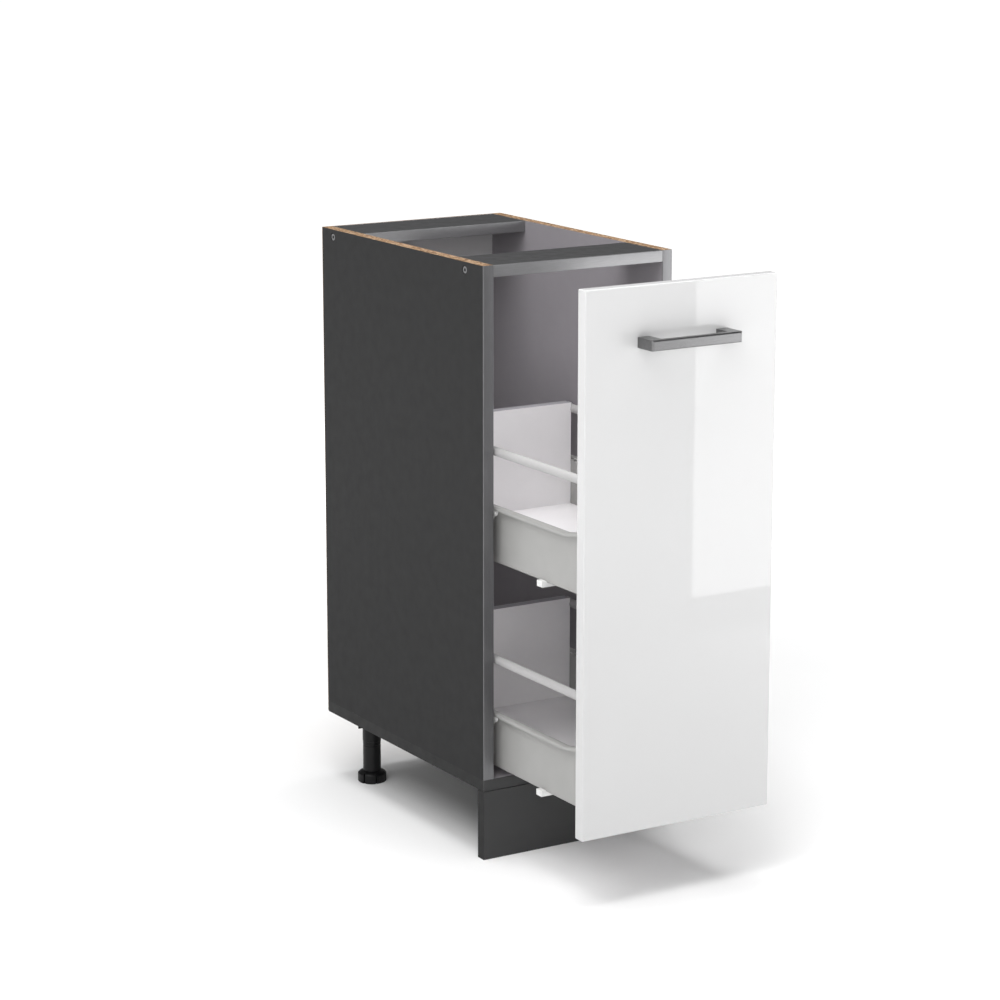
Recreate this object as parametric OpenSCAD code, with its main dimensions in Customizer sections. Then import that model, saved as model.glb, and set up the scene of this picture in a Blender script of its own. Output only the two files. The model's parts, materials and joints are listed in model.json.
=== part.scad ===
// Pull-out pantry base cabinet: an open-topped carcass on four levelling legs,
// with one tall front that carries two steel-sided trays on roller runners.
// Millimetres. +Z is up, +X is to the right of someone facing the front, the
// front faces -Y. The origin is on the floor, at the centre of the footprint
// of the cabinet with its pull-out drawn out by open_rest.

/* [Carcass] */
// Outside width
cab_w = 300; // [290:1:400]
// Height from the floor to the worktop seat
cab_h = 820; // [800:1:900]
// Outside depth, back panel included
cab_d = 450; // [440:1:480]
// Thickness of the chipboard panels
board = 16; // [15:0.5:19]
// Thickness of the back panel
back_t = 3; // [2.5:0.5:5]
// Thickness of the glued edging
band = 1; // [0.8:0.1:2]
// Depth of each flat top rail
rail_d = 90; // [80:1:110]
// Height of the plinth and of the legs
plinth_h = 98; // [90:1:120]

/* [Front] */
// Width of the front panel
door_w = 296; // [286:1:396]
// Thickness of the front panel
door_t = 18; // [16:1:22]
// Rounding of the front panel's edges
door_r = 2; // [0.5:0.5:4]
// How far the pull-out stands open at rest
open_rest = 226; // [60:1:300]

/* [Handle] */
// Distance between the two handle screws
handle_pitch = 128; // [96:32:192]
// Height of the handle's middle above the floor
handle_z = 747.7; // [600:0.1:780]
// Height of the bar
handle_h = 14; // [10:1:20]
// How far the handle stands out from the front
handle_out = 34; // [26:1:45]

/* [Trays] */
// Height of the upper tray's rim above the floor
rim_upper = 493; // [440:1:520]
// Height of the lower tray's rim above the floor
rim_lower = 205; // [200:1:230]
// Gap between a carcass side and the steel tray side
side_gap = 13.2; // [12.8:0.1:13.4]
// Height of the steel tray side
side_h = 80; // [72:1:90]
// Sheet thickness of the tray sides and runners
steel = 1.2; // [1:0.1:1.5]
// How far the rim turns outwards
rim_out = 8.3; // [8:0.1:8.4]
// Depth of the rim's turned-down lip
lip = 5.2; // [3:0.1:5.4]
// How far the rim rises next to the front
rim_rise = 6.5; // [2:0.5:7]
// Height of the tray back above the rim
back_up = 84; // [60:1:100]
// Height of the side rails above the rim
railing_up = 74.5; // [60:0.5:90]
// Diameter of the side rails
railing_dia = 12; // [8:0.5:14]

/* [Runners] */
// Diameter of the fixed front roller
roller_dia = 13.8; // [12:0.1:14]
// Diameter of the running rear roller
wheel_dia = 16; // [15:0.1:16]

/* [Legs] */
// Distance of the leg centres from the outside faces
leg_inset = 40; // [39:0.5:60]
// Diameter of the leg tube
leg_dia = 26.4; // [24:0.2:27]
// Diameter of the levelling foot
foot_dia = 42; // [36:1:44]
// Number of lobes round the levelling foot
foot_lobes = 7; // [5:1:9]

/* [Hidden] */
$fn = 64;
eps = 0.01;

// Middle of the footprint, measured from the carcass front
mid_y = (cab_d - open_rest - door_t - handle_out) / 2;
side_d = cab_d - back_t;              // depth of the sides and the bottom
side_z = plinth_h + board;            // the sides stand on the bottom panel
leg_y_front = leg_inset;
leg_y_rear = 388 + (cab_d - 450);
legs = [[leg_inset, leg_y_front], [cab_w - leg_inset, leg_y_front],
        [leg_inset, leg_y_rear], [cab_w - leg_inset, leg_y_rear]];
rear_rail_y = side_d - 3 - rail_d;
rims = [rim_upper, rim_lower];
web_x = board + side_gap;             // outer face of a left tray side
tray_len = 445;                       // length of a tray side
back_y = 431;                         // front face of the tray back, from the front panel
wheel_y = 435;                        // running wheel, from the front panel
roller_y = 14;                        // fixed roller, from the carcass front
wheel_drop = 7.4;                     // wheel centre below the rim
roller_drop = 8.4;                    // fixed roller centre below the rim
rise_y0 = 24;                         // the rim's slope ends here
rise_y1 = 57;                         // and starts here
clip_ys = [120, 340];                 // tray floor clips, from the front panel
runner_screw_ys = [40, 200, 400];
fit = 0.05;                           // running clearance, on the radius

// Places on the object -------------------------------------------------

// From the carcass's own corner to the part's frame
module placed() { translate([-cab_w / 2, -mid_y, 0]) children(); }
// From the front panel's rear face to the carcass's corner
module pulled() { translate([0, -open_rest, 0]) children(); }
// The same thing on the right
module flipped() { translate([cab_w, 0, 0]) mirror([1, 0, 0]) children(); }
// Both sides
module both_sides() { children(); flipped() children(); }
// Cylinders along X and along Y
module cyl_x(r, l) { rotate([0, 90, 0]) cylinder(r = r, h = l); }
module cyl_y(r, l) { rotate([-90, 0, 0]) cylinder(r = r, h = l); }
// A rectangle with rounded corners, from true arcs
module round_rect(a, b, r) {
  translate([r, 0]) square([a - 2 * r, b]);
  translate([0, r]) square([a, b - 2 * r]);
  for (x = [r, a - r], y = [r, b - r]) translate([x, y]) circle(r = r);
}

// Fasteners ------------------------------------------------------------

// Pan-head wood screw: head above z = 0, shank below
module wood_screw(l = 14) {
  difference() {
    rotate_extrude() polygon([[0, 2], [2.2, 2], [3.4, 1], [3.4, 0], [0, 0]]);
    translate([0, 0, 1.1]) for (a = [0, 90]) rotate(a) translate([-1.9, -0.35, 0]) cube([3.8, 0.7, 2]);
  }
  translate([0, 0, -l]) cylinder(r = 1.6, h = l + eps);
}
module pilot(l = 14) { translate([0, 0, -l - 0.5]) cylinder(r = 1.7, h = l + 1); }

// Connecting screw for the panels: flat head at z = 0, shank below
module confirmat() {
  difference() {
    translate([0, 0, -3.4]) cylinder(r = 5, h = 2.8);
    translate([0, 0, -2.8]) cylinder(r = 2.3, h = 3, $fn = 6);
  }
  translate([0, 0, -48]) cylinder(r = 3.4, h = 44.7);
}
module confirmat_hole() {
  translate([0, 0, -3.5]) cylinder(r = 6, h = 4);
  translate([0, 0, -49]) cylinder(r = 3.5, h = 50);
}

// Carcass layout -------------------------------------------------------

module at_confirmats_side() {           // through the left side into the rails
  for (y = [48, rear_rail_y + 62]) translate([0, y, cab_h - 11]) rotate([0, -90, 0]) children();
}
module at_confirmats_bottom() {         // up through the bottom into the side
  for (y = [100, 330]) translate([board / 2, y, plinth_h]) rotate([180, 0, 0]) children();
}
module at_dowels_rail() { for (y = [20, rear_rail_y + 22]) translate([5, y, cab_h - 8]) children(); }
module at_dowels_bottom() { for (y = [45, 400]) translate([board / 2, y, plinth_h + 6]) children(); }
module at_nails() {
  for (x = [board / 2, cab_w - board / 2], i = [0:5])
    translate([x, cab_d, side_z + 30 + i * (cab_h - side_z - 60) / 5]) children();
  for (x = [cab_w * 0.3, cab_w * 0.7]) translate([x, cab_d, plinth_h + board / 2]) children();
}
module at_socket_screws() {
  for (p = legs, a = [45:90:315])
    translate([p[0], p[1], plinth_h - 3]) rotate(a) translate([18.5, 0, 0]) rotate([180, 0, 0]) children();
}
module at_clip_screws() {
  for (i = [0, 1], dx = [-13, 13]) translate([legs[i][0] + dx, board + 2.5, 38]) rotate([-90, 0, 0]) children();
}
module at_runner_screws() {             // left side only
  for (f = rims, y = runner_screw_ys) translate([board + steel, y, f - 25]) rotate([0, 90, 0]) children();
}

// Carcass --------------------------------------------------------------

module side_left_solid() {
  difference() {
    translate([0, band, side_z]) cube([board, side_d - band, cab_h - side_z]);
    at_confirmats_side() confirmat_hole();
    at_confirmats_bottom() confirmat_hole();
    at_dowels_rail() cyl_x(4.05, 30);
    at_dowels_bottom() translate([0, 0, -0.1]) cylinder(r = 4.05, h = 30.5);
    at_runner_screws() pilot(12);
    for (i = [0:5]) translate([board / 2, cab_d, side_z + 30 + i * (cab_h - side_z - 60) / 5])
      translate([0, -19, 0]) cyl_y(0.8, 20);
  }
}
module side_panel_left() { color("dimgray") placed() side_left_solid(); }
module side_panel_right() { color("dimgray") placed() flipped() side_left_solid(); }

module bottom_panel() {
  color("dimgray") placed() difference() {
    translate([0, band, plinth_h]) cube([cab_w, side_d - band, board]);
    both_sides() { at_confirmats_bottom() confirmat_hole(); at_dowels_bottom() translate([0, 0, -0.1]) cylinder(r = 4.05, h = 30.5); }
    at_socket_screws() pilot(12);
    for (x = [cab_w * 0.3, cab_w * 0.7]) translate([x, cab_d - 19, plinth_h + board / 2]) cyl_y(0.8, 20);
  }
}

module back_panel() {
  color("silver") placed() difference() {
    translate([1, side_d, plinth_h + 1]) cube([cab_w - 2, back_t, cab_h - plinth_h - 1]);
    at_nails() { translate([0, -4, 0]) cyl_y(0.8, 5); translate([0, -0.6, 0]) cyl_y(2.3, 1); }
  }
}

// One flat rail between the sides, with pilot holes for the worktop screws
module rail_solid(y0, screw_y) {
  difference() {
    translate([board, y0 + band, cab_h - board]) cube([cab_w - 2 * board, rail_d - band, board]);
    both_sides() { at_confirmats_side() confirmat_hole(); at_dowels_rail() cyl_x(4.05, 30.5); }
    for (x = [cab_w / 2 - 75, cab_w / 2 + 75]) translate([x, screw_y, cab_h - board - 1]) cylinder(r = 2.5, h = 13);
  }
}
module front_top_rail() { color("dimgray") placed() rail_solid(0, 45); }
module rear_top_rail() { color("dimgray") placed() rail_solid(rear_rail_y, rear_rail_y + 45); }

module edge_band_left() { color("gray") placed() translate([0, 0, side_z]) cube([board, band, cab_h - side_z]); }
module edge_band_right() { color("gray") placed() translate([cab_w - board, 0, side_z]) cube([board, band, cab_h - side_z]); }
module edge_band_bottom() { color("gray") placed() translate([0, 0, plinth_h]) cube([cab_w, band, board]); }
module edge_band_front_rail() { color("gray") placed() translate([board, 0, cab_h - board]) cube([cab_w - 2 * board, band, board]); }
module edge_band_rear_rail() { color("gray") placed() translate([board, rear_rail_y, cab_h - board]) cube([cab_w - 2 * board, band, board]); }

module confirmat_screws() {
  color("silver") placed() both_sides() { at_confirmats_side() confirmat(); at_confirmats_bottom() confirmat(); }
}
module carcass_dowels() {
  color("burlywood") placed() both_sides() { at_dowels_rail() translate([0.5, 0, 0]) cyl_x(4, 29); at_dowels_bottom() translate([0, 0, 0.5]) cylinder(r = 4, h = 29); }
}
module back_panel_nails() {
  color("silver") placed() at_nails() { translate([0, -0.6, 0]) cyl_y(2.2, 0.6); translate([0, -18, 0]) cyl_y(0.7, 17.5); }
}

// Plinth and legs ------------------------------------------------------

module plinth_panel() {
  color("dimgray") placed() difference() {
    cube([cab_w, board, plinth_h - 0.6]);
    at_clip_screws() pilot(11);
  }
}

// Clip that snaps round a front leg and is screwed to the plinth's rear face
module plinth_clip() {
  difference() {
    union() {
      translate([-18, board - leg_y_front, 22]) cube([36, 2.5, 32]);
      translate([-7, board - leg_y_front, 30]) cube([14, leg_y_front - board - 10, 16]);
      translate([0, 0, 30]) cylinder(r = leg_dia / 2 + 3.3, h = 16);
    }
    translate([0, 0, 21]) cylinder(r = leg_dia / 2 + 0.1, h = 34);
    translate([-10, 4, 29]) cube([20, 20, 18]);
    for (dx = [-13, 13]) translate([dx, board - leg_y_front - 1, 38]) cyl_y(1.7, 5);
  }
}
module plinth_clips() { color("dimgray") placed() for (i = [0, 1]) translate([legs[i][0], legs[i][1], 0]) plinth_clip(); }
module plinth_clip_screws() { color("silver") placed() at_clip_screws() wood_screw(10); }

// Socket: a round plate under the bottom panel with a collar for the tube
module leg_socket() {
  difference() {
    union() {
      translate([0, 0, plinth_h - 3]) cylinder(r = 23.6, h = 3);
      translate([0, 0, 62]) cylinder(r = leg_dia / 2 + 0.4, h = plinth_h - 62);
      for (a = [0:90:270]) rotate(a) translate([leg_dia / 2 - 1, -1.2, plinth_h - 15]) cube([10, 2.4, 12.5]);
    }
    translate([0, 0, 61]) cylinder(r = 11.1, h = plinth_h - 61 - 4);
    for (a = [45:90:315]) rotate(a) translate([18.5, 0, plinth_h - 4]) cylinder(r = 1.7, h = 5);
  }
}
module leg_sockets() { color("black") placed() for (p = legs) translate([p[0], p[1], 0]) leg_socket(); }
module leg_socket_screws() { color("silver") placed() at_socket_screws() wood_screw(11); }

module leg_tube() {
  difference() {
    rotate_extrude() polygon([[0, 17], [leg_dia / 2, 17], [leg_dia / 2, 55], [leg_dia / 2 - 0.5, 55.5],
      [leg_dia / 2 - 0.5, 56.5], [leg_dia / 2, 57], [leg_dia / 2, 61.8], [11.05, 61.8], [11.05, 92], [0, 92]]);
    translate([0, 0, 16]) cylinder(r = 7 + fit, h = 64);
  }
}
module leg_tubes() { color("black") placed() for (p = legs) translate([p[0], p[1], 0]) leg_tube(); }

// Foot: a lobed disc with the ribbed stem that screws into the tube
module foot_solid(turn) {
  r = foot_dia / 2;
  difference() {
    rotate_extrude() polygon([[0, 0], [r - 1, 0], [r, 1], [r, 12.5], [r - 2, 14.6], [14.5, 16.7], [0, 16.7]]);
    for (i = [0:foot_lobes - 1]) rotate(turn + i * 360 / foot_lobes) {
      translate([r - 2.4, -1.3, -1]) cube([6, 2.6, 20]);
      translate([r - 2.4, 0, -1]) cylinder(r = 1.3, h = 20);
    }
    translate([0, 0, -1]) cylinder(r = 9, h = 3);
  }
  rotate_extrude() polygon(concat([[0, 16]], [[5.9, 16]],
    [for (i = [0:15]) for (p = [[5.9, 17 + i * 3], [7, 17.9 + i * 3], [7, 18.7 + i * 3], [5.9, 19.6 + i * 3]]) p],
    [[5.9, 65.5], [5, 66.5], [0, 66.5]]));
}
module foot_at(i, turn) { color("black") placed() translate([legs[i][0], legs[i][1], 0]) foot_solid(turn); }
module foot_front_left() { foot_at(0, 8); }
module foot_front_right() { foot_at(1, 31); }
module foot_rear_left() { foot_at(2, -101); }
module foot_rear_right() { foot_at(3, 17); }

// Runners --------------------------------------------------------------

// Cabinet profile on the left side for a rim at height f
module runner_solid(f) {
  difference() {
    union() {
      translate([board, 3, f - 32]) cube([steel, 440, 34.1]);
      translate([board, 17, f - 15.7 - steel]) cube([11.5, 426, steel]);
      translate([board + 11.5 - steel, 17, f - 16.9 - 2]) cube([steel, 426, 2.5]);
      translate([board, 66, f + 0.9]) cube([10.5, 377, steel]);
      translate([board + 4, 84, f - 15.8]) cube([7, 2.7, 3.1]);
    }
    for (y = runner_screw_ys) translate([board - 1, y, f - 25]) cyl_x(1.7, 4);
    translate([board - 1, roller_y, f - roller_drop]) cyl_x(1.55, 4);
    for (y = [90, 140, 250, 300, 350]) translate([board - 1, y, f - 25]) cyl_x(2.5, 4);
  }
}
module runner_upper_left() { color("silver") placed() runner_solid(rim_upper); }
module runner_upper_right() { color("silver") placed() flipped() runner_solid(rim_upper); }
module runner_lower_left() { color("silver") placed() runner_solid(rim_lower); }
module runner_lower_right() { color("silver") placed() flipped() runner_solid(rim_lower); }
module runner_screws() { color("silver") placed() both_sides() at_runner_screws() wood_screw(11.5); }

// Axle of the fixed roller, riveted to the profile
module roller_pin(f) {
  translate([board, roller_y, f - roller_drop]) cyl_x(1.5, steel + eps);
  translate([board + steel, roller_y, f - roller_drop]) cyl_x(2.6, 5.1);
  translate([board + steel, roller_y, f - roller_drop]) cyl_x(2, 11.4);
  translate([board + 12.05, roller_y, f - roller_drop]) cyl_x(3, 0.55);
}
module runner_roller_pins() { color("silver") placed() both_sides() for (f = rims) roller_pin(f); }

// Roller: a plastic tyre with a hub and a recessed face
module roller_shape(d, w) {
  rotate([0, 90, 0]) rotate_extrude() polygon([[2 + fit, 0], [3.6, 0], [3.6, 0.6], [d / 2 - 1.8, 0.6], [d / 2 - 1.8, 0],
    [d / 2 - 0.5, 0], [d / 2, 0.5], [d / 2, w - 0.5], [d / 2 - 0.5, w], [d / 2 - 1.8, w], [d / 2 - 1.8, w - 0.6],
    [3.6, w - 0.6], [3.6, w], [2 + fit, w]]);
}
module roller_solid(f) { translate([board + 6.6, roller_y, f - roller_drop]) roller_shape(roller_dia, 5.2); }
module roller_upper_left() { color("white") placed() roller_solid(rim_upper); }
module roller_upper_right() { color("white") placed() flipped() roller_solid(rim_upper); }
module roller_lower_left() { color("white") placed() roller_solid(rim_lower); }
module roller_lower_right() { color("white") placed() flipped() roller_solid(rim_lower); }

// Wheel at the rear of a tray side, running inside the cabinet profile
module wheel_solid(f) { translate([board + 3.6, wheel_y, f - wheel_drop]) roller_shape(wheel_dia, 8.6); }
module wheel_upper_left() { color("white") placed() pulled() wheel_solid(rim_upper); }
module wheel_upper_right() { color("white") placed() pulled() flipped() wheel_solid(rim_upper); }
module wheel_lower_left() { color("white") placed() pulled() wheel_solid(rim_lower); }
module wheel_lower_right() { color("white") placed() pulled() flipped() wheel_solid(rim_lower); }

module wheel_pin(f) {
  translate([0, wheel_y, f - wheel_drop]) {
    translate([board + 2.4, 0, 0]) cyl_x(3, 0.8);
    translate([board + 3.1, 0, 0]) cyl_x(2, web_x - board - 3.1 + steel + eps);
    translate([web_x - 0.7, 0, 0]) cyl_x(4, 0.7);
    translate([web_x + steel, 0, 0]) cyl_x(3, 0.4);
  }
}
module wheel_pins() { color("silver") placed() pulled() both_sides() for (f = rims) wheel_pin(f); }

// Front ----------------------------------------------------------------

// Screws through each steel side's front tab into the front
tab_zs = [-56, -22];
tab_x = web_x + steel + 7;

module front_panel() {
  z0 = plinth_h;
  h = cab_h - plinth_h;
  x0 = (cab_w - door_w) / 2;
  color("white") placed() pulled() difference() {
    intersection() {
      translate([x0, -door_t, z0]) cube([door_w, door_t, h]);
      translate([x0, -door_t, z0 - 1]) linear_extrude(height = h + 2) round_rect(door_w, door_t, door_r);
      translate([x0 - 1, 0, z0]) rotate([90, 0, 90]) linear_extrude(height = door_w + 2)
        translate([-door_t, 0]) round_rect(door_t, h, door_r);
    }
    for (dx = [-0.5, 0.5]) translate([cab_w / 2 + dx * handle_pitch, -door_t - 1, handle_z]) cyl_y(2.25, door_t + 2);
    both_sides() for (f = rims, z = tab_zs) translate([tab_x, -12.5, f + z]) cyl_y(1.7, 13);
    both_sides() for (f = rims) translate([railing_x, -12.5, f + railing_up]) cyl_y(1.7, 13);
  }
}

// Bow handle, drawn from above and given its height
module handle() {
  l = handle_pitch + 11;
  leg = 18;
  bar = 8;
  o = handle_out;
  color("darkgray") placed() pulled() translate([cab_w / 2, -door_t, handle_z]) difference() {
    intersection() {
      translate([0, 0, -handle_h / 2]) linear_extrude(height = handle_h) difference() {
        polygon([[-l / 2, 0], [-l / 2, -o + 2.4], [-l / 2 + 2.4, -o], [l / 2 - 2.4, -o], [l / 2, -o + 2.4], [l / 2, 0]]);
        translate([-l / 2 + leg + 4, -o + bar]) square([l - 2 * leg - 8, o]);
        translate([-l / 2 + leg, -o + bar + 4]) square([l - 2 * leg, o]);
        for (s = [-1, 1]) translate([s * (l / 2 - leg - 4), -o + bar + 4]) circle(r = 4);
      }
      rotate([90, 0, 90]) translate([0, 0, -l]) linear_extrude(height = 2 * l)
        polygon([[0, -handle_h / 2], [-o + 1.2, -handle_h / 2], [-o, -handle_h / 2 + 1.2], [-o, handle_h / 2 - 1.8], [-o + 1.8, handle_h / 2], [0, handle_h / 2]]);
    }
    for (s = [-0.5, 0.5]) translate([s * handle_pitch, -12, 0]) cyl_y(2.05, 13);
  }
}
module handle_screws() {
  color("silver") placed() pulled() for (s = [-0.5, 0.5]) translate([cab_w / 2 + s * handle_pitch, 0, handle_z]) {
    difference() {
      rotate([-90, 0, 0]) rotate_extrude() polygon([[0, 2.6], [2.6, 2.6], [4, 1.3], [4, 0], [0, 0]]);
      for (a = [0, 90]) rotate([0, a, 0]) translate([-2.2, 1.4, -0.4]) cube([4.4, 2, 0.8]);
    }
    translate([0, -door_t - 10.5, 0]) cyl_y(2, door_t + 10.6);
  }
}
module door_buffers() {
  color("whitesmoke") placed() pulled() for (x = [board / 2, cab_w - board / 2], z = [side_z + 16, cab_h - 30])
    translate([x, 0, z]) rotate([-90, 0, 0]) rotate_extrude() polygon([[0, 0], [4.2, 0], [4.2, 0.6], [3.2, 1.6], [2.4, 1.8], [0, 1.8]]);
}

// Trays ----------------------------------------------------------------

// The rim seen from the side, d below its top, from the front panel backwards
function rim_line(d) = [[0, rim_rise - d], [rise_y0, rim_rise - d], [rise_y1, -d], [422, -d]];
function reversed(v) = [for (i = [len(v) - 1:-1:0]) v[i]];
// A plate in the plane of the side, w thick to the right of x0
module plate_x(x0, w) { translate([x0, 0, 0]) rotate([90, 0, 90]) linear_extrude(height = w) children(); }
// A strip that follows the rim, d deep
module rim_strip(x0, w, d) { plate_x(x0, w) polygon(concat(rim_line(0), reversed(rim_line(d)))); }

module tray_side_solid(f) {
  translate([web_x, 0, f]) difference() {
    union() {
      plate_x(0, steel) polygon([[0, -side_h], [tray_len, -side_h], [tray_len, 0], [rise_y1, 0], [rise_y0, rim_rise], [0, rim_rise]]);
      rim_strip(-rim_out, rim_out + steel, steel);
      rim_strip(-rim_out, steel, lip);
      translate([0, 2, -side_h]) cube([13, back_y - 4, steel]);
      translate([0.4, 0, 2 - side_h]) cube([steel + 12.6, steel, side_h - 4]);
    }
    translate([-1, wheel_y, -wheel_drop]) cyl_x(2.05, 4);
    for (z = [-60, -32]) translate([-1, back_y + 8, z]) cyl_x(1.7, 4);
    for (z = tab_zs) translate([tab_x - web_x, -1, z]) cyl_y(1.7, 5);
  }
}
module tray_side_upper_left() { color("gainsboro") placed() pulled() tray_side_solid(rim_upper); }
module tray_side_upper_right() { color("gainsboro") placed() pulled() flipped() tray_side_solid(rim_upper); }
module tray_side_lower_left() { color("gainsboro") placed() pulled() tray_side_solid(rim_lower); }
module tray_side_lower_right() { color("gainsboro") placed() pulled() flipped() tray_side_solid(rim_lower); }

floor_x = web_x + steel + 1.1;
module tray_floor_solid(f) {
  difference() {
    translate([floor_x, 2.4, f - side_h + steel]) cube([cab_w - 2 * floor_x, back_y - 2.4, 16]);
    both_sides() for (y = clip_ys) translate([web_x + 23, y, f - side_h - 8]) cylinder(r = 1.7, h = 21);
  }
}
module tray_floor_upper() { color("white") placed() pulled() tray_floor_solid(rim_upper); }
module tray_floor_lower() { color("white") placed() pulled() tray_floor_solid(rim_lower); }

module tray_back_solid(f) {
  x0 = web_x + steel + 0.5;
  difference() {
    translate([x0, back_y, f - side_h + steel]) cube([cab_w - 2 * x0, 16, side_h - steel + back_up]);
    both_sides() {
      translate([x0 - 1, back_y + 14.4, f + railing_up - 9]) cube([28, 3, 18]);
      translate([railing_x, back_y - 1, f + railing_up]) cyl_y(railing_dia / 2 + 0.2, 18);
      for (x = [x0 + 12, x0 + 22]) translate([x, back_y + 3, f + railing_up]) cyl_y(1.7, 14);
      for (z = [-60, -32]) translate([x0 - 1, back_y + 8, f + z]) cyl_x(1.7, 15);
    }
  }
}
module tray_back_upper() { color("white") placed() pulled() tray_back_solid(rim_upper); }
module tray_back_lower() { color("white") placed() pulled() tray_back_solid(rim_lower); }
module tray_back_screws() {
  color("silver") placed() pulled() both_sides() for (f = rims, z = [-60, -32])
    translate([web_x, back_y + 8, f + z]) rotate([0, -90, 0]) wood_screw(14);
}

// Side rails above the steel sides, and what holds them
railing_x = web_x - 3.6;
module side_railings() {
  color("white") placed() pulled() both_sides() for (f = rims)
    translate([railing_x, 3, f + railing_up]) difference() {
      cyl_y(railing_dia / 2, back_y + 11.3);
      translate([0, back_y, 0]) cyl_y(1.7, 14);
    }
}
module railing_front_cups() {
  color("white") placed() pulled() both_sides() for (f = rims)
    translate([railing_x, 0, f + railing_up]) difference() {
      rotate([-90, 0, 0]) rotate_extrude() polygon([[0, 0], [8.4, 0], [8.4, 9], [7.4, 12], [railing_dia / 2 + fit, 12], [railing_dia / 2 + fit, 1.9], [0, 1.9]]);
      translate([0, -1, 0]) cyl_y(1.7, 4);
    }
}
module railing_rear_brackets() {
  color("silver") placed() pulled() both_sides() for (f = rims)
    translate([0, back_y + 14.4, f + railing_up]) difference() {
      union() {
        translate([railing_x, 0, -8]) cube([31, 1.5, 16]);
        translate([railing_x, 0, 0]) cyl_y(8, 1.5);
      }
      for (x = [railing_x, web_x + steel + 12.5, web_x + steel + 22.5]) translate([x, -1, 0]) cyl_y(1.7, 4);
    }
}
// Flat-headed screws of the rails: brackets at the rear, cups at the front
module flat_screw(l) {
  rotate_extrude() polygon([[0, 0.5], [2.9, 0.5], [3.1, 0], [0, 0]]);
  translate([0, 0, -l]) cylinder(r = 1.6, h = l + eps);
}
module railing_screws() {
  color("silver") placed() pulled() both_sides() for (f = rims) {
    for (x = [railing_x, web_x + steel + 12.5, web_x + steel + 22.5])
      translate([x, back_y + 15.9, f + railing_up]) rotate([-90, 0, 0]) flat_screw(11);
    translate([railing_x, 1.9, f + railing_up]) rotate([-90, 0, 0]) flat_screw(12);
  }
}

module front_screws() {
  color("silver") placed() pulled() both_sides() for (f = rims, z = tab_zs)
    translate([tab_x, steel, f + z]) rotate([-90, 0, 0]) wood_screw(13);
}

// Plastic clips that hold the tray floor to the steel sides
module floor_clip() {
  difference() {
    union() {
      translate([-7.2, -6.5, -6]) cube([20.6, 13, 6]);
      translate([13.2, -6.5, -6]) cube([19.6, 13, 6 + steel]);
      translate([-7.2, -6.5, -1]) cube([7.15, 13, 3.2]);
    }
    translate([23, 0, -8]) cylinder(r = 1.7, h = 12);
    translate([23, 0, -8]) cylinder(r = 3.6, h = 4);
    translate([14, -4, -8]) cube([4, 8, 5.6]);
    translate([29, -4, -8]) cube([2.5, 8, 5.6]);
  }
}
module floor_clips() {
  color("white") placed() pulled() both_sides() for (f = rims, y = clip_ys) translate([web_x, y, f - side_h]) floor_clip();
}
module floor_clip_screws() {
  color("silver") placed() pulled() both_sides() for (f = rims, y = clip_ys)
    translate([web_x + 23, y, f - side_h - 4]) rotate([180, 0, 0]) wood_screw(16);
}

side_panel_left();
side_panel_right();
bottom_panel();
back_panel();
front_top_rail();
rear_top_rail();
edge_band_left();
edge_band_right();
edge_band_bottom();
edge_band_front_rail();
edge_band_rear_rail();
plinth_panel();
plinth_clips();
plinth_clip_screws();
confirmat_screws();
carcass_dowels();
back_panel_nails();
leg_sockets();
leg_socket_screws();
leg_tubes();
runner_upper_left();
runner_upper_right();
runner_lower_left();
runner_lower_right();
runner_screws();
runner_roller_pins();
foot_front_left();
foot_front_right();
foot_rear_left();
foot_rear_right();
roller_upper_left();
roller_upper_right();
roller_lower_left();
roller_lower_right();
wheel_upper_left();
wheel_upper_right();
wheel_lower_left();
wheel_lower_right();
front_panel();
handle();
handle_screws();
door_buffers();
tray_side_upper_left();
tray_side_upper_right();
tray_side_lower_left();
tray_side_lower_right();
tray_floor_upper();
tray_floor_lower();
tray_back_upper();
tray_back_lower();
side_railings();
railing_front_cups();
railing_rear_brackets();
railing_screws();
front_screws();
floor_clips();
floor_clip_screws();
tray_back_screws();
wheel_pins();
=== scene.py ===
"""Looks for the pull-out pantry base cabinet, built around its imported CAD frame. Metres, +Z up, the front faces -Y."""
import json
import math

import bmesh
import bpy
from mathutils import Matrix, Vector


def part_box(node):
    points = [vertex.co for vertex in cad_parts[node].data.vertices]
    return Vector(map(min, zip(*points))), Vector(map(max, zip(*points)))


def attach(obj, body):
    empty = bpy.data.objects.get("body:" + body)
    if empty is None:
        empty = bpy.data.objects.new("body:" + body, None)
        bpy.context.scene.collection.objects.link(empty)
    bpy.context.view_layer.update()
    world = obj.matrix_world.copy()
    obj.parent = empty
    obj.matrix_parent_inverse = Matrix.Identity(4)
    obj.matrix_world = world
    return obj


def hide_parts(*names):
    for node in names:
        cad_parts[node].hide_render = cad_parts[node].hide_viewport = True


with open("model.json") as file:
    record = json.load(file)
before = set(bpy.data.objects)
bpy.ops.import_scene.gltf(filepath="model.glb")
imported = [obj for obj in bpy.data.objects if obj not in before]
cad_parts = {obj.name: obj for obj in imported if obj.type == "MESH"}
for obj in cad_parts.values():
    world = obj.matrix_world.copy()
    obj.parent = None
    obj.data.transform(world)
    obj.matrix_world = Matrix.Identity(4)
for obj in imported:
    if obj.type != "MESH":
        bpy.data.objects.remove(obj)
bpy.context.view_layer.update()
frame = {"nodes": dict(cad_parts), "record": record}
NODES = frame["nodes"]
scene = bpy.context.scene
BODY = {n: b for b, ns in frame["record"]["behaviour"]["bodies"].items() for n in ns}

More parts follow.
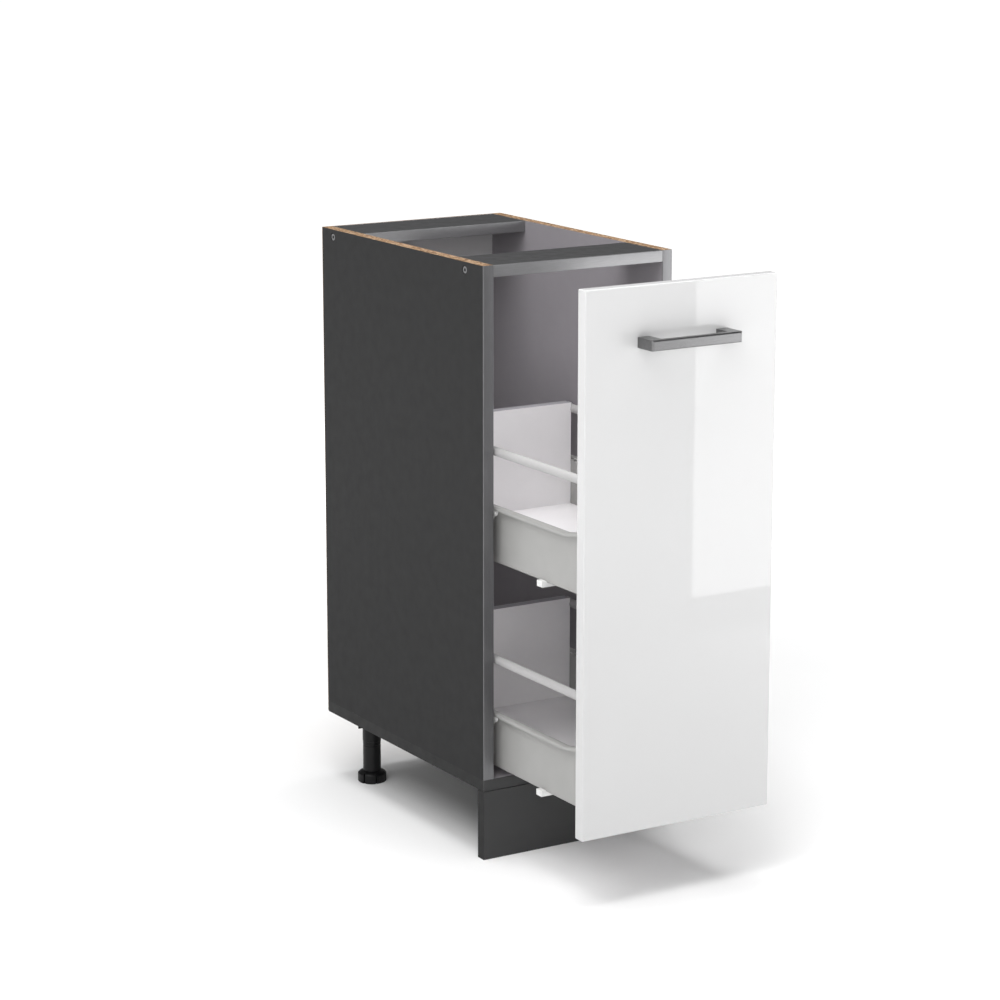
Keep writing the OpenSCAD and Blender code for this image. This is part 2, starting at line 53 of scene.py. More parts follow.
# ---------------------------------------------------------------- camera
FOCAL = 3044.0  # in pixels of a 1000-pixel frame
EYE = Vector((-2.186, -3.477, 1.406))
YAW, PITCH = math.radians(31.30), math.radians(12.82)
cam_data = bpy.data.cameras.new("photo_view")
cam_data.sensor_fit = "HORIZONTAL"
cam_data.sensor_width = 36.0
cam_data.lens = FOCAL * 36.0 / 1000.0
cam_data.clip_end = 200.0
cam = bpy.data.objects.new("photo_view", cam_data)
aim = Vector((math.sin(YAW) * math.cos(PITCH), math.cos(YAW) * math.cos(PITCH), -math.sin(PITCH)))
cam.location = EYE
cam.rotation_euler = aim.to_track_quat("-Z", "Y").to_euler()
scene.collection.objects.link(cam)
scene.camera = cam


# ---------------------------------------------------------------- material kit
class Tree:
    """A small helper that writes one material's nodes."""

    def __init__(self, name):
        self.mat = bpy.data.materials.new(name)
        self.mat.use_nodes = True
        self.nt = self.mat.node_tree
        self.nt.nodes.clear()
        self.out = self.nt.nodes.new("ShaderNodeOutputMaterial")
        self.bsdf = self.nt.nodes.new("ShaderNodeBsdfPrincipled")
        self.nt.links.new(self.bsdf.outputs[0], self.out.inputs[0])
        self.coord = self.nt.nodes.new("ShaderNodeTexCoord").outputs["Object"]

    def node(self, kind, props=None, **sockets):
        n = self.nt.nodes.new(kind)
        for k, v in (props or {}).items():
            setattr(n, k, v)
        for k, v in sockets.items():
            self.put(n, k.replace("_", " "), v)
        return n

    def put(self, n, key, v):
        s = n.inputs[int(key)] if key.isdigit() else n.inputs[key]
        if isinstance(v, bpy.types.NodeSocket):
            self.nt.links.new(v, s)
        else:
            s.default_value = v

    def stretch(self, x, y, z):
        n = self.nt.nodes.new("ShaderNodeMapping")
        self.nt.links.new(self.coord, n.inputs["Vector"])
        n.inputs["Scale"].default_value = (x, y, z)
        return n.outputs[0]

    def noise(self, scale, detail=3.0, rough=0.5, vec=None, distort=0.0):
        n = self.node("ShaderNodeTexNoise", None, Scale=scale, Detail=detail, Roughness=rough, Distortion=distort)
        self.nt.links.new(vec or self.coord, n.inputs["Vector"])
        return n.outputs["Fac"]

    def cells(self, scale, vec=None, feature="F1", out="Distance", rand=1.0):
        n = self.node("ShaderNodeTexVoronoi", {"feature": feature}, Scale=scale, Randomness=rand)
        self.nt.links.new(vec or self.coord, n.inputs["Vector"])
        return n.outputs[out]

    def ramp(self, fac, stops, mode="LINEAR"):
        n = self.nt.nodes.new("ShaderNodeValToRGB")
        n.color_ramp.interpolation = mode
        el = n.color_ramp.elements
        while len(el) < len(stops):
            el.new(0.5)
        for e, (p, c) in zip(el, stops):
            e.position = p
            e.color = (c[0], c[1], c[2], 1.0) if isinstance(c, (tuple, list)) else (c, c, c, 1.0)
        self.nt.links.new(fac, n.inputs[0])
        return n.outputs[0]

    def span(self, fac, lo, hi, a=0.0, b=1.0):
        n = self.node("ShaderNodeMapRange", None)
        self.nt.links.new(fac, n.inputs[0])
        n.inputs[1].default_value, n.inputs[2].default_value = a, b
        n.inputs[3].default_value, n.inputs[4].default_value = lo, hi
        return n.outputs[0]

    def math(self, op, a, b=0.0):
        n = self.node("ShaderNodeMath", {"operation": op})
        self.put(n, "0", a)
        self.put(n, "1", b)
        return n.outputs[0]

    def blend(self, fac, a, b, kind="MIX"):
        n = self.nt.nodes.new("ShaderNodeMix")
        n.data_type = "RGBA"
        n.blend_type = kind
        for k, v in ((0, fac), (6, a), (7, b)):
            if isinstance(v, bpy.types.NodeSocket):
                self.nt.links.new(v, n.inputs[k])
            elif k:
                n.inputs[k].default_value = (v[0], v[1], v[2], 1.0)
            else:
                n.inputs[k].default_value = v
        return n.outputs[2]

    def bump(self, height, strength, distance):
        n = self.node("ShaderNodeBump", None, Strength=strength, Distance=distance, Height=height)
        self.nt.links.new(n.outputs[0], self.bsdf.inputs["Normal"])
        return n

    def surface(self, **sockets):
        for k, v in sockets.items():
            key = k.replace("_", " ")
            if key == "Base Color" and isinstance(v, tuple):
                v = (v[0], v[1], v[2], 1.0)
            self.put(self.bsdf, key, v)
        return self.mat


def melamine(name, rgb, rough=0.46, level=0.3, grain=0.06, relief=0.22):
    """Matt melamine: a fine pearl relief, faint paper mottling, a little unevenness in the sheen."""
    t = Tree(name)
    mott = t.noise(26.0, 4.0, 0.6)
    fine = t.noise(900.0, 2.0, 0.5)
    lo = tuple(c * (1 - grain) for c in rgb)
    hi = tuple(c * (1 + grain) for c in rgb)
    base = t.ramp(mott, [(0.3, lo), (0.7, hi)])
    base = t.blend(t.span(fine, 0.0, 0.5, 0.35, 0.75), base, hi)
    pearl = t.cells(1150.0, feature="SMOOTH_F1")
    t.bump(t.math("ADD", pearl, t.math("MULTIPLY", fine, 0.5)), relief, 0.00012)
    return t.surface(Base_Color=base, Roughness=t.span(t.noise(60.0, 3.0), rough - 0.05, rough + 0.05, 0.3, 0.7),
                     **{"Specular_IOR_Level": level})


def chipboard(name, tone=1.0):
    """Raw chipboard: pressed chips of mixed colour, dark glue between them, small pits."""
    t = Tree(name)
    vec = t.stretch(1.0, 0.55, 1.0)
    warp = t.noise(240.0, 3.0, 0.6, vec)
    chips = t.cells(420.0, vec, out="Color")
    grey = t.node("ShaderNodeSeparateColor", None)
    t.nt.links.new(chips, grey.inputs[0])
    pick = t.math("ADD", t.math("MULTIPLY", grey.outputs[0], 0.7), t.math("MULTIPLY", warp, 0.3))
    c = [(0.16, 0.085, 0.042), (0.34, 0.20, 0.105), (0.48, 0.31, 0.18), (0.64, 0.46, 0.31)]
    c = [tuple(v * tone for v in k) for k in c]
    base = t.ramp(pick, [(0.12, c[0]), (0.38, c[1]), (0.62, c[2]), (0.9, c[3])])
    gaps = t.cells(420.0, vec, feature="DISTANCE_TO_EDGE")
    base = t.blend(t.span(gaps, 0.55, 0.0, 0.0, 0.06), base, (0.09 * tone, 0.045 * tone, 0.02 * tone))
    pits = t.noise(1500.0, 3.0, 0.7)
    t.bump(t.math("ADD", t.math("MULTIPLY", gaps, 3.0), pits), 0.55, 0.00035)
    return t.surface(Base_Color=base, Roughness=t.span(pits, 0.75, 0.95), **{"Specular_IOR_Level": 0.25})


def hardboard(name):
    """The raw rear face of thin hardboard: brown fibre felt with a screen pattern."""
    t = Tree(name)
    fib = t.noise(700.0, 5.0, 0.65, t.stretch(1.0, 1.0, 0.35))
    base = t.ramp(fib, [(0.25, (0.10, 0.055, 0.027)), (0.5, (0.185, 0.105, 0.052)), (0.8, (0.29, 0.18, 0.095))])
    base = t.blend(t.span(t.noise(9.0, 3.0), 0.0, 0.35, 0.35, 0.7), base, (0.13, 0.075, 0.04))
    w1 = t.node("ShaderNodeTexWave", {"bands_direction": "X", "wave_profile": "SIN"}, Scale=170.0, Distortion=0.4)
    w2 = t.node("ShaderNodeTexWave", {"bands_direction": "Z", "wave_profile": "SIN"}, Scale=170.0, Distortion=0.4)
    for w in (w1, w2):
        t.nt.links.new(t.coord, w.inputs["Vector"])
    mesh = t.math("ADD", w1.outputs[1], w2.outputs[1])
    t.bump(t.math("ADD", mesh, fib), 0.5, 0.00025)
    return t.surface(Base_Color=base, Roughness=0.82, **{"Specular_IOR_Level": 0.3})


def edging(name, rgb, metal, rough, axis="Z"):
    """Edging tape with a faint brushing along its length."""
    t = Tree(name)
    s = {"X": (0.02, 1.0, 1.0), "Z": (1.0, 1.0, 0.02)}[axis]
    lines = t.noise(3600.0, 3.0, 0.6, t.stretch(*s))
    base = t.ramp(lines, [(0.25, tuple(c * 0.86 for c in rgb)), (0.75, tuple(c * 1.12 for c in rgb))])
    t.bump(lines, 0.16, 0.00006)
    return t.surface(Base_Color=base, Metallic=metal, Roughness=t.span(lines, rough - 0.04, rough + 0.06))


def lacquer(name, rgb):
    """High-gloss lacquer: a deep clear layer with the faintest orange peel."""
    t = Tree(name)
    peel = t.noise(60.0, 2.0, 0.45)
    base = t.ramp(t.noise(5.0, 2.0), [(0.3, tuple(c * 0.993 for c in rgb)), (0.7, rgb)])
    t.bump(peel, 0.02, 0.00003)
    return t.surface(Base_Color=base, Roughness=t.span(t.noise(14.0, 3.0), 0.012, 0.03), IOR=1.5)


def powder(name, rgb, rough=0.34, level=0.5, relief=0.3, peel_scale=620.0, depth=0.00008):
    """Powder coat on steel: fine orange peel, even colour, soft sheen."""
    t = Tree(name)
    peel = t.noise(peel_scale, 2.0, 0.5)
    base = t.ramp(t.noise(40.0, 3.0), [(0.3, tuple(c * 0.975 for c in rgb)), (0.7, tuple(c * 1.02 for c in rgb))])
    t.bump(peel, relief, depth)
    return t.surface(Base_Color=base, Roughness=t.span(t.noise(160.0, 2.0), rough - 0.04, rough + 0.05),
                     **{"Specular_IOR_Level": level})


def zinc(name, rgb=(0.62, 0.62, 0.63), rough=0.3):
    """Bright zinc plate with faint mottling and small scratches."""
    t = Tree(name)
    mott = t.noise(900.0, 4.0, 0.6)
    base = t.ramp(mott, [(0.3, tuple(c * 0.82 for c in rgb)), (0.7, rgb)])
    t.bump(t.noise(4200.0, 2.0), 0.12, 0.00003)
    return t.surface(Base_Color=base, Metallic=1.0, Roughness=t.span(mott, rough - 0.06, rough + 0.1))


def nickel(name, rgb, rough=0.3):
    """Brushed nickel: fine lines along the bar, broken into short strokes."""
    t = Tree(name)
    long = t.noise(5200.0, 3.0, 0.6, t.stretch(0.012, 1.0, 1.0))
    cloud = t.noise(55.0, 3.0, 0.5, t.stretch(0.5, 1.0, 1.0))
    base = t.ramp(long, [(0.25, tuple(c * 0.8 for c in rgb)), (0.75, tuple(c * 1.15 for c in rgb))])
    t.bump(long, 0.2, 0.00004)
    fine = t.math("ADD", t.span(long, -0.05, 0.06), t.span(cloud, rough - 0.02, rough + 0.03))
    return t.surface(Base_Color=base, Metallic=1.0, Roughness=fine)


def moulded(name, rgb, rough=0.42, level=0.5, relief=0.25, grain=520.0):
    """Moulded plastic: fine spark-eroded grain and slightly uneven sheen."""
    t = Tree(name)
    g = t.noise(grain, 4.0, 0.6)
    base = t.ramp(t.noise(90.0, 3.0), [(0.3, tuple(c * 0.93 for c in rgb)), (0.7, tuple(min(1, c * 1.05) for c in rgb))])
    t.bump(g, relief, 0.00009)
    return t.surface(Base_Color=base, Roughness=t.span(g, rough - 0.07, rough + 0.08, 0.3, 0.7),
                     **{"Specular_IOR_Level": level})


def beech(name):
    """Turned beech dowel: long grain with darker flecks."""
    t = Tree(name)
    grain = t.noise(500.0, 4.0, 0.6, t.stretch(0.1, 1.0, 1.0))
    base = t.ramp(grain, [(0.3, (0.42, 0.25, 0.13)), (0.6, (0.62, 0.42, 0.25)), (0.8, (0.70, 0.50, 0.31))])
    t.bump(grain, 0.3, 0.0001)
    return t.surface(Base_Color=base, Roughness=0.6)


def clear_soft(name):
    t = Tree(name)
    g = t.noise(400.0, 2.0)
    t.bump(g, 0.1, 0.00005)
    return t.surface(Base_Color=t.ramp(g, [(0.3, (0.70, 0.71, 0.72)), (0.7, (0.78, 0.79, 0.80))]), Roughness=0.22)


M = {
    "board": melamine("anthracite_melamine", (0.0268, 0.0268, 0.0272), 0.46, 0.06, 0.02),
    # Painted light: a lit copy of the anthracite board, made a much lighter purple-grey on the inner faces and the
    # bottom's upper face to stand in for light inside the carcass
    "board_inner_lit": melamine("anthracite_inner_lit_copy", (0.305, 0.288, 0.308), 0.46, 0.3, 0.02),
    # Painted light: a lit copy of the anthracite board, a little lighter on the top rails for the light they catch
    "board_top_lit": melamine("anthracite_top_rails_lit_copy", (0.033, 0.033, 0.034), 0.44, 0.25, 0.015, 0.16),
    # Painted light: a lit copy of the anthracite board, lighter on the plinth and the bottom edging, which sit in
    # shade
    "board_plinth_lit": melamine("anthracite_plinth_lit_copy", (0.040, 0.040, 0.0405), 0.46, 0.28, 0.02),
    # Painted shade: a shaded copy of the anthracite board, darker on the ends of the bottom panel and rails and on
    # the plinth's other faces
    "board_end_shaded": melamine("anthracite_end_shaded_copy", (0.018, 0.018, 0.0183), 0.5, 0.16, 0.02),
    "core": chipboard("raw_chipboard", 0.62),
    "edge_z": edging("grey_edging_z", (0.172, 0.172, 0.177), 0.75, 0.33, "Z"),
    # Painted light: a lit copy of the grey edging, lighter on the rails' front edges than on the side fronts
    "edge_x_lit": edging("grey_edging_x_lit_copy", (0.235, 0.235, 0.24), 0.75, 0.33, "X"),
    "back_face": melamine("back_grey_decor", (0.56, 0.555, 0.56), 0.4, 0.4, 0.02),
    "hardboard": hardboard("raw_hardboard"),
    "gloss": lacquer("white_gloss", (0.614, 0.614, 0.616)),
    "front_rear": melamine("white_front_rear", (0.74, 0.74, 0.745), 0.4, 0.4, 0.02),
    "tray_white": melamine("white_tray_board", (0.90, 0.882, 0.893), 0.33, 0.45, 0.015, 0.15),
    "tray_edge": edging("lilac_grey_edging", (0.27, 0.26, 0.28), 0.0, 0.36, "X"),
    "powder": powder("pale_grey_powder_coat", (0.355, 0.353, 0.344), 0.30),
    "powder_runner": powder("runner_powder_coat", (0.55, 0.55, 0.535), 0.38),
    "rail_white": powder("white_powder_coat", (0.44, 0.435, 0.435), 0.34, 0.3, 0.1, 1900.0, 0.000004),
    "zinc": zinc("zinc_plate"),
    "zinc_dark": zinc("burnished_screw_head", (0.20, 0.20, 0.205), 0.22),
    "nickel": nickel("brushed_nickel", (0.19, 0.19, 0.192), 0.27),
    "nylon": moulded("white_nylon", (0.78, 0.78, 0.775), 0.36, 0.5, 0.12),
    "black": moulded("black_plastic", (0.006, 0.006, 0.0065), 0.40, 0.25, 0.3),
    "beech": beech("beech_dowel"),
    "soft": clear_soft("clear_soft_plastic"),
}


# ---------------------------------------------------------------- mesh kit
def finish_mesh(bm, name):
    me = bpy.data.meshes.new(name)
    bm.to_mesh(me)
    bm.free()
    for k in [a.name for a in me.attributes if a.name in ("custom_normal", "sharp_edge", "sharp_face", "material_index")]:
        me.attributes.remove(me.attributes[k])
    ob = bpy.data.objects.new(name, me)
    scene.collection.objects.link(ob)
    return ob


def bevel_and_apply(ob, width, segments=2, angle=30.0):
    me = ob.data
    me.polygons.foreach_set("use_smooth", [True] * len(me.polygons))
    if width:
        mod = ob.modifiers.new("edge_break", "BEVEL")
        mod.width = width
        mod.segments = segments
        mod.limit_method = "ANGLE"
        mod.angle_limit = math.radians(angle)
        mod.use_clamp_overlap = True
        mod.harden_normals = True
        mod.miter_outer = "MITER_ARC"
        dg = bpy.context.evaluated_depsgraph_get()
        new = bpy.data.meshes.new_from_object(ob.evaluated_get(dg))
        ob.modifiers.clear()
        old = ob.data
        ob.data = new
        bpy.data.meshes.remove(old)
    return ob


def skin(node, width=0.0003, segments=2, angle=30.0, name=None):
    """A copy of a CAD node with its flat faces merged and its sharp edges broken, which stands for that node."""
    bm = bmesh.new()
    bm.from_mesh(NODES[node].data)
    for layer in list(bm.loops.layers.uv):
        bm.loops.layers.uv.remove(layer)
    bmesh.ops.remove_doubles(bm, verts=bm.verts, dist=2e-6)
    bmesh.ops.dissolve_limit(bm, angle_limit=math.radians(0.1), verts=bm.verts, edges=bm.edges, delimit=set())
    ob = finish_mesh(bm, name or node + "_skin")
    return bevel_and_apply(ob, width, segments, angle)


def dress(ob, mats, rule=None):
    """Gives an object its materials; rule(centre, normal) returns the index of one of them."""
    me = ob.data
    me.materials.clear()
    for m in mats:
        me.materials.append(M[m])
    if rule:
        for p in me.polygons:
            p.material_index = rule(p.center, p.normal)
    else:
        for p in me.polygons:
            p.material_index = 0


def stand_for(ob, *nodes, slot):
    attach(ob, BODY[nodes[0]])
    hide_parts(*nodes)
    return ob


def keep(node, mat):
    """A CAD node whose shape stays as it is."""
    for s in NODES[node].material_slots:
        s.material = M[mat]
    for p in NODES[node].data.polygons:
        p.use_smooth = p.use_smooth


def panel(node, mats, rule, slot, width=0.0003):
    ob = skin(node, width)
    dress(ob, mats, rule)
    return stand_for(ob, node, slot=slot)


# ---------------------------------------------------------------- carcass boards
TOL = 0.0008


def side_rule(lo, hi, outer):
    """0 outer face, and the walls of the screw holes near it, painted with the outer board as painted shade instead
    of raw chipboard; 1 inner face; 2 raw core
    """
    def rule(c, n):
        # Painted shade: hole walls within 3.8 mm of the outer face take the dark outer board, though they are raw
        # chipboard
        if min(hi.z - c.z, c.z - lo.z, c.y - lo.y, hi.y - c.y) > 0.003 and abs(c.x - (lo.x if outer < 0 else hi.x)) < 0.0038:
            return 0
        if abs(n.x) > 0.6:
            if abs(c.x - lo.x) < TOL:
                return 0 if outer < 0 else 1
            if abs(c.x - hi.x) < TOL:
                return 1 if outer < 0 else 0
        return 2
    return rule


# The side panels' inner faces take the lit copy of the board, painted lighter
for name, outer in (("side_panel_left", -1), ("side_panel_right", 1)):
    lo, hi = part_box(name)
    panel(name, ["board", "board_inner_lit", "core"], side_rule(lo, hi, outer), "carcass_board")


def flat_rule(lo, hi, ends):
    """0 lower face, 1 upper face, 2 ends along X, 3 raw core"""
    def rule(c, n):
        if abs(n.z) > 0.6:
            if abs(c.z - lo.z) < TOL:
                return 0
            if abs(c.z - hi.z) < TOL:
                return 1
        if ends and abs(n.x) > 0.6 and (abs(c.x - lo.x) < TOL or abs(c.x - hi.x) < TOL):
            return 2
        return 3
    return rule


# The rails' faces and the bottom's upper face take lit copies of the board, and their ends the shaded copy
for name, ends in (("bottom_panel", True), ("front_top_rail", False), ("rear_top_rail", False)):
    lo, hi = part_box(name)
    panel(name, ["board", "board_inner_lit", "board_end_shaded", "core"] if ends else ["board_top_lit", "board_top_lit", "board_end_shaded", "core"],
          flat_rule(lo, hi, ends), "carcass_board")

# The plinth's front and back take the lit copy of the board, its other faces the shaded copy
lo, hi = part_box("plinth_panel")
panel("plinth_panel", ["board_plinth_lit", "board_end_shaded", "core"],
      lambda c, n: 0 if abs(n.y) > 0.6 and (abs(c.y - lo.y) < TOL or abs(c.y - hi.y) < TOL) else 1, "carcass_board", 0.0005)

b_lo, b_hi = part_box("back_panel")
panel("back_panel", ["back_face", "hardboard"], lambda c, n: 0 if n.y < -0.6 and abs(c.y - b_lo.y) < TOL else 1, "back_board", 0.0002)



def edge_band(name, mat, r=0.0008):
    """A strip of edging whose two long front edges are rounded over; its rear stays flush with the board."""
    lo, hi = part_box(name)
    along = 2 if hi.z - lo.z > hi.x - lo.x else 0
    bm = bmesh.new()
    bmesh.ops.create_cube(bm, size=1.0)
    for v in bm.verts:
        v.co = Vector([lo[i] if v.co[i] < 0 else hi[i] for i in range(3)])
    front_edges = [e for e in bm.edges if all(abs(v.co.y - lo.y) < 1e-6 for v in e.verts)
                   and abs(e.verts[0].co[along] - e.verts[1].co[along]) > 0.05]
    bmesh.ops.bevel(bm, geom=front_edges, offset=r, segments=5, affect="EDGES", profile=0.5)
    bmesh.ops.recalc_face_normals(bm, faces=bm.faces)
    ob = finish_mesh(bm, name + "_strip")
    ob.data.polygons.foreach_set("use_smooth", [True] * len(ob.data.polygons))
    ob.data.set_sharp_from_angle(angle=math.radians(40))
    dress(ob, [mat])
    return stand_for(ob, name, slot="edge_band")


for name in ("edge_band_left", "edge_band_right"):
    edge_band(name, "edge_z")
# The bottom edging takes the plinth's lit copy of the board, painted lighter
edge_band("edge_band_bottom", "board_plinth_lit")
for name in ("edge_band_front_rail", "edge_band_rear_rail"):
    edge_band(name, "edge_x_lit")

# ---------------------------------------------------------------- front and handle
f_lo, f_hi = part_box("front_panel")


def rounded_box(name, lo, hi, r, segments=4):
    """A closed box whose edges are true roundings of radius r, with flat faces shaded flat."""
    bm = bmesh.new()
    bmesh.ops.create_cube(bm, size=1.0)
    for v in bm.verts:
        v.co = Vector([lo[i] if v.co[i] < 0 else hi[i] for i in range(3)])
    ob = finish_mesh(bm, name)
    return bevel_and_apply(ob, r, segments)


front = rounded_box("front_panel_lacquered", f_lo, f_hi, 0.002, 5)
dress(front, ["gloss", "front_rear"], lambda c, n: 1 if n.y > 0.99 and abs(c.y - f_hi.y) < 1e-5 else 0)
stand_for(front, "front_panel", slot="front_gloss")
panel("handle", ["nickel"], None, "handle_nickel", 0.0006)

# ---------------------------------------------------------------- trays: boards
for lv in ("upper", "lower"):
    name = "tray_floor_" + lv
    lo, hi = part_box(name)
    panel(name, ["tray_white", "tray_white", "tray_edge", "core"], flat_rule(lo, hi, False), "tray_board")
    name = "tray_back_" + lv
    lo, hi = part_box(name)

    def back_rule(c, n, lo=lo, hi=hi):
        if abs(n.y) > 0.6:
            return 0
        if n.z > 0.3 and c.z > hi.z - 0.002:
            return 1
        if abs(n.x) > 0.6 and (abs(c.x - lo.x) < TOL or abs(c.x - hi.x) < TOL):
            return 1
        return 0 if c.z > hi.z - 0.002 else 2

    panel(name, ["tray_white", "tray_edge", "core"], back_rule, "tray_board", 0.0004)

# ---------------------------------------------------------------- trays: folded steel sides
WEB_X, OPEN, MID_Y = 29.2, 226.0, 86.0
SIDE_H, SHEET, RIM_OUT, LIP = 80.0, 1.2, 8.3, 5.2
RISE, RISE_0, RISE_1 = 6.5, 24.0, 57.0
RIMS = {"upper": 493.0, "lower": 205.0}


def rise(y):
    """How far the rim stands above its straight length: a slope with two softened corners."""
    def corner(t, r=4.0):
        return 0.0 if t <= -r else t if t >= r else (t + r) ** 2 / (4 * r)
    return RISE / (RISE_1 - RISE_0) * (corner(RISE_1 - y) - corner(RISE_0 - y))


def arc(cx, cz, r, a0, a1, n):
    return [(cx + r * math.cos(math.radians(a0 + (a1 - a0) * i / n)), cz + r * math.sin(math.radians(a0 + (a1 - a0) * i / n)))
            for i in range(n + 1)]


def side_section(up):
    """The sheet's closed outline, x from the web's outer face, z from the rim, which is raised by up."""
    foot = [(13.0, -SIDE_H), (6.0, -SIDE_H)] + arc(2.1, -SIDE_H + 2.1, 2.1, 270, 180, 7)
    web = [(0.0, z) for z in (-62.0, -38.0, -14.0)]
    r = 2.4
    xo = -RIM_OUT
    xi = xo + SHEET
    rim = arc(-0.9, -SHEET - 0.9, 0.9, 0, 90, 5) + arc(xo + r, -r, r - SHEET, 90, 180, 6)
    rim += [(xi, -LIP + 0.25), (xi - 0.25, -LIP), (xo + 0.25, -LIP), (xo, -LIP + 0.25)]
    rim += arc(xo + r, -r, r, 180, 90, 9) + arc(-0.9, -2.1, 2.1, 90, 0, 7)
    inner = [(SHEET, z) for z in (-14.0, -38.0, -62.0)]
    inner += arc(2.1, -SIDE_H + 2.1, 0.9, 180, 270, 7) + [(6.0, -SIDE_H + SHEET), (13.0, -SIDE_H + SHEET)]
    return foot + web + [(x, z + up) for x, z in rim] + inner


def tray_side(level, right):
    f = RIMS[level]
    sx = -1.0 if right else 1.0

    def at(x, y, z):
        return Vector((sx * (WEB_X + x - 150.0) / 1000.0, (y - OPEN - MID_Y) / 1000.0, (f + z) / 1000.0))

    bm = bmesh.new()
    ys = [0.0, 8.0, 16.0] + [RISE_0 - 4.0 + k for k in range(9)] + [34.0, 41.0, 47.0] + [RISE_1 - 4.0 + k for k in range(9)]
    ys += [76.0, 110.0, 160.0, 210.0, 260.0, 310.0, 366.0, 422.0]
    rings = [(y, side_section(rise(y))) for y in ys]
    vs = [[bm.verts.new(at(p[0], y, p[1])) for p in sec] for y, sec in rings]
    n = len(vs[0])
    for a, b in zip(vs, vs[1:]):
        for i in range(n):
            j = (i + 1) % n
            bm.faces.new((a[i], a[j], b[j], b[i]))
    bm.faces.new(vs[0])
    bm.faces.new(vs[-1][::-1])

    def block(x0, x1, y0, y1, z0, z1):
        c = [bm.verts.new(at(x, y, z)) for x in (x0, x1) for y in (y0, y1) for z in (z0, z1)]
        for q in ((0, 1, 3, 2), (4, 6, 7, 5), (0, 4, 5, 1), (2, 3, 7, 6), (0, 2, 6, 4), (1, 5, 7, 3)):
            bm.faces.new([c[i] for i in q])

    block(0.0, SHEET, 421.8, 445.0, -SIDE_H, 0.0)
    block(1.0, 13.0, 421.9, 429.0, -SIDE_H, -SIDE_H + SHEET)
    # Front tab, a thin plate against the front
    block(0.5, 14.2, 0.02, SHEET, -SIDE_H + 2.0, -2.0)
    bmesh.ops.recalc_face_normals(bm, faces=bm.faces)
    ob = finish_mesh(bm, f"tray_side_{level}_{'right' if right else 'left'}_sheet")
    me = ob.data
    me.polygons.foreach_set("use_smooth", [True] * len(me.polygons))
    me.set_sharp_from_angle(angle=math.radians(34))
    dress(ob, ["powder"])
    return stand_for(ob, f"tray_side_{level}_{'right' if right else 'left'}", slot="tray_steel")


for lv in RIMS:
    for r in (False, True):
        tray_side(lv, r)

# ---------------------------------------------------------------- rods
def rods():
    """Four straight rods with softly rounded ends."""
    bm = bmesh.new()
    lo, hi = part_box("side_railings")
    r = 0.006
    prof = [(0.0, r - 0.0012), (0.0004, r - 0.0004), (0.0012, r)]
    length = hi.y - lo.y
    prof = prof + [(length * k / 6.0, r) for k in range(1, 6)] + [(length - a, b) for a, b in prof[::-1]]
    for x in (lo.x + r, hi.x - r):
        for z in (lo.z + r, hi.z - r):
            prev = None
            for d, q in prof:
                ring = [bm.verts.new((x + q * math.cos(2 * math.pi * i / 64), lo.y + d, z + q * math.sin(2 * math.pi * i / 64))) for i in range(64)]
                if prev is None:
                    bm.faces.new(ring)
                else:
                    for i in range(64):
                        bm.faces.new((prev[i], prev[(i + 1) % 64], ring[(i + 1) % 64], ring[i]))
                prev = ring
            bm.faces.new(prev[::-1])
    bmesh.ops.recalc_face_normals(bm, faces=bm.faces)
    ob = finish_mesh(bm, "side_railing_rods")
    ob.data.polygons.foreach_set("use_smooth", [True] * len(ob.data.polygons))
    ob.data.set_sharp_from_angle(angle=math.radians(50))
    dress(ob, ["rail_white"])
    stand_for(ob, "side_railings", slot="railing_steel")


rods()

# ---------------------------------------------------------------- the smaller pieces
for name, mat, slot, w in (
    ("railing_front_cups", "nylon", "white_plastic", 0.0003),
    ("floor_clips", "nylon", "white_plastic", 0.0006),
    ("leg_sockets", "black", "black_plastic", 0.0004),
    ("leg_tubes", "black", "black_plastic", 0.0002),
    ("foot_front_left", "black", "black_plastic", 0.0004),
    ("foot_front_right", "black", "black_plastic", 0.0004),
    ("foot_rear_left", "black", "black_plastic", 0.0004),
    ("foot_rear_right", "black", "black_plastic", 0.0004),
    ("plinth_clips", "black", "black_plastic", 0.0004),
    ("runner_upper_left", "powder_runner", "runner_steel", 0.0002),
    ("runner_upper_right", "powder_runner", "runner_steel", 0.0002),
    ("runner_lower_left", "powder_runner", "runner_steel", 0.0002),
    ("runner_lower_right", "powder_runner", "runner_steel", 0.0002),
    ("roller_upper_left", "nylon", "white_plastic", 0.0001),
    ("roller_upper_right", "nylon", "white_plastic", 0.0001),
    ("roller_lower_left", "nylon", "white_plastic", 0.0001),
    ("roller_lower_right", "nylon", "white_plastic", 0.0001),
    ("wheel_upper_left", "nylon", "white_plastic", 0.0001),
    ("wheel_upper_right", "nylon", "white_plastic", 0.0001),
    ("wheel_lower_left", "nylon", "white_plastic", 0.0001),
    ("wheel_lower_right", "nylon", "white_plastic", 0.0001),
    ("confirmat_screws", "zinc_dark", "zinc_fasteners", 0.0003),
    ("railing_rear_brackets", "zinc", "zinc_fasteners", 0.0002),
):
    panel(name, [mat], None, slot, w)

for name, mat in (
    ("carcass_dowels", "beech"), ("back_panel_nails", "zinc"), ("plinth_clip_screws", "zinc"), ("leg_socket_screws", "zinc"),
    ("runner_screws", "zinc"), ("runner_roller_pins", "zinc"), ("wheel_pins", "zinc"), ("handle_screws", "zinc"),
    ("railing_screws", "zinc"), ("front_screws", "zinc"), ("floor_clip_screws", "zinc"), ("tray_back_screws", "zinc"),
    ("door_buffers", "soft"),
):
    keep(name, mat)


# ---------------------------------------------------------------- floor and light
WORLD, WINDOW, GLOW = 0.17, 2.4, 0.88
